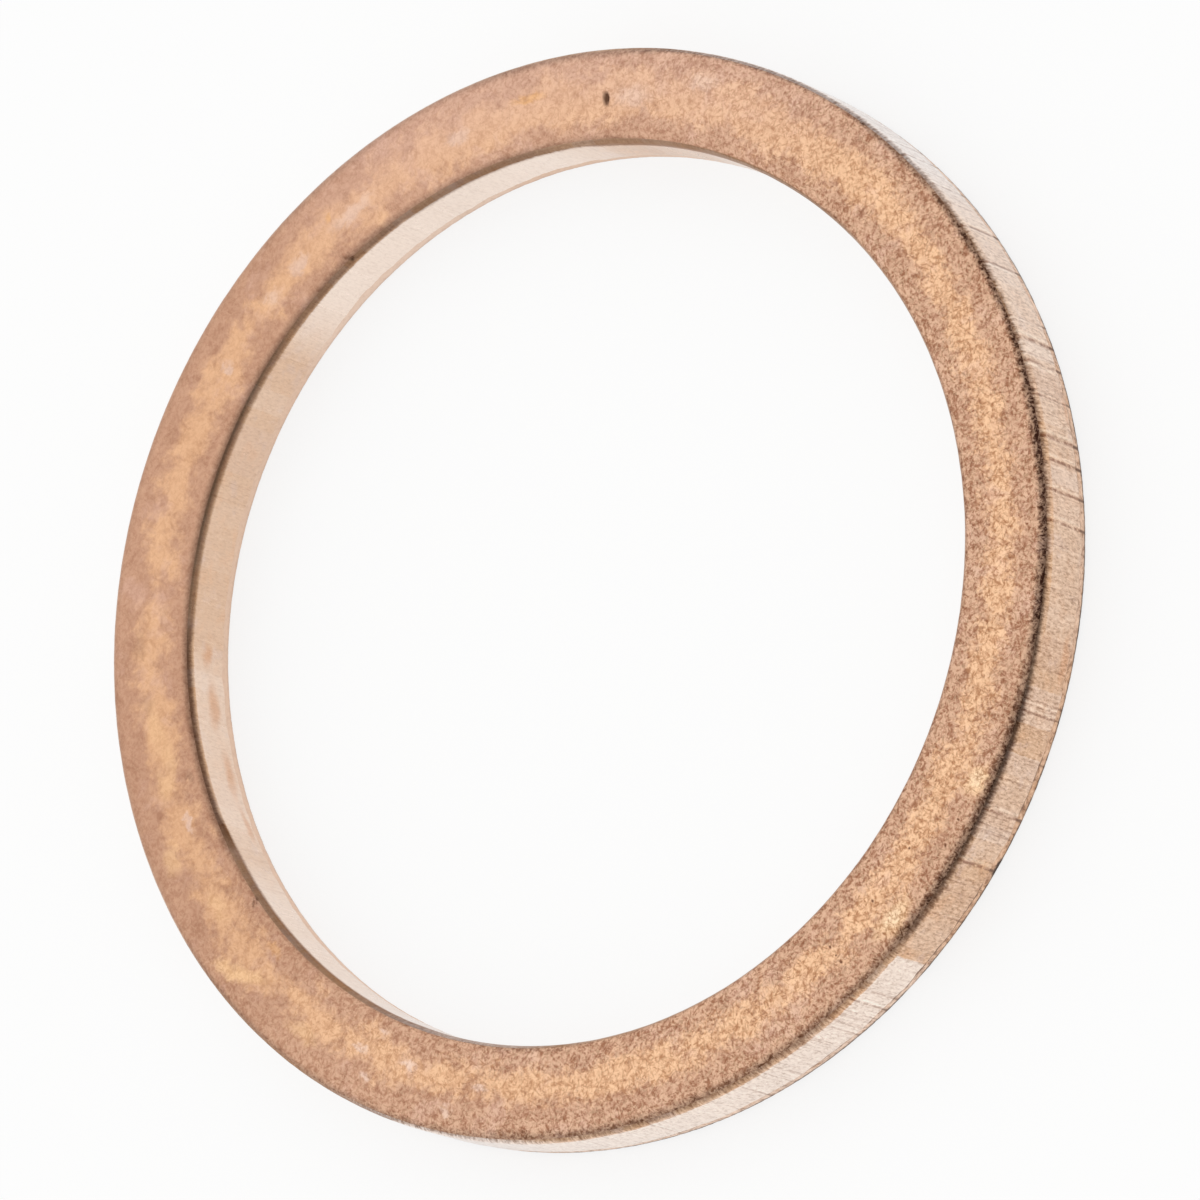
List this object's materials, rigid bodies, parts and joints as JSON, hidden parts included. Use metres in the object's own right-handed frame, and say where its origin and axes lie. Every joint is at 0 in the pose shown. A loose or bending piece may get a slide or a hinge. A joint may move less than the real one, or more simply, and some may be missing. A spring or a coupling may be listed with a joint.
{
  "type": "plug seal",
  "caption": "Flat copper sealing ring with a crowned upper face and rolled edges, squeezed under the head of a threaded plug to seal it against its seat.",
  "frame": {"origin": "centre of the ring's lower face, on the surface it lies on", "axes": "+Z along the ring's axis, from the flat lower face towards the crowned upper face; X and Y are free, because the ring is round"},
  "size_m": [0.022, 0.022, 0.0015],
  "materials": {
    "copper": "annealed soft copper: matte fine-grained oxidised faces, smooth pale sheared walls and a narrow rough broken band near the lower edges"
  },
  "bodies": {
    "root": {"seal_ring": "copper"}
  },
  "joints": []
}
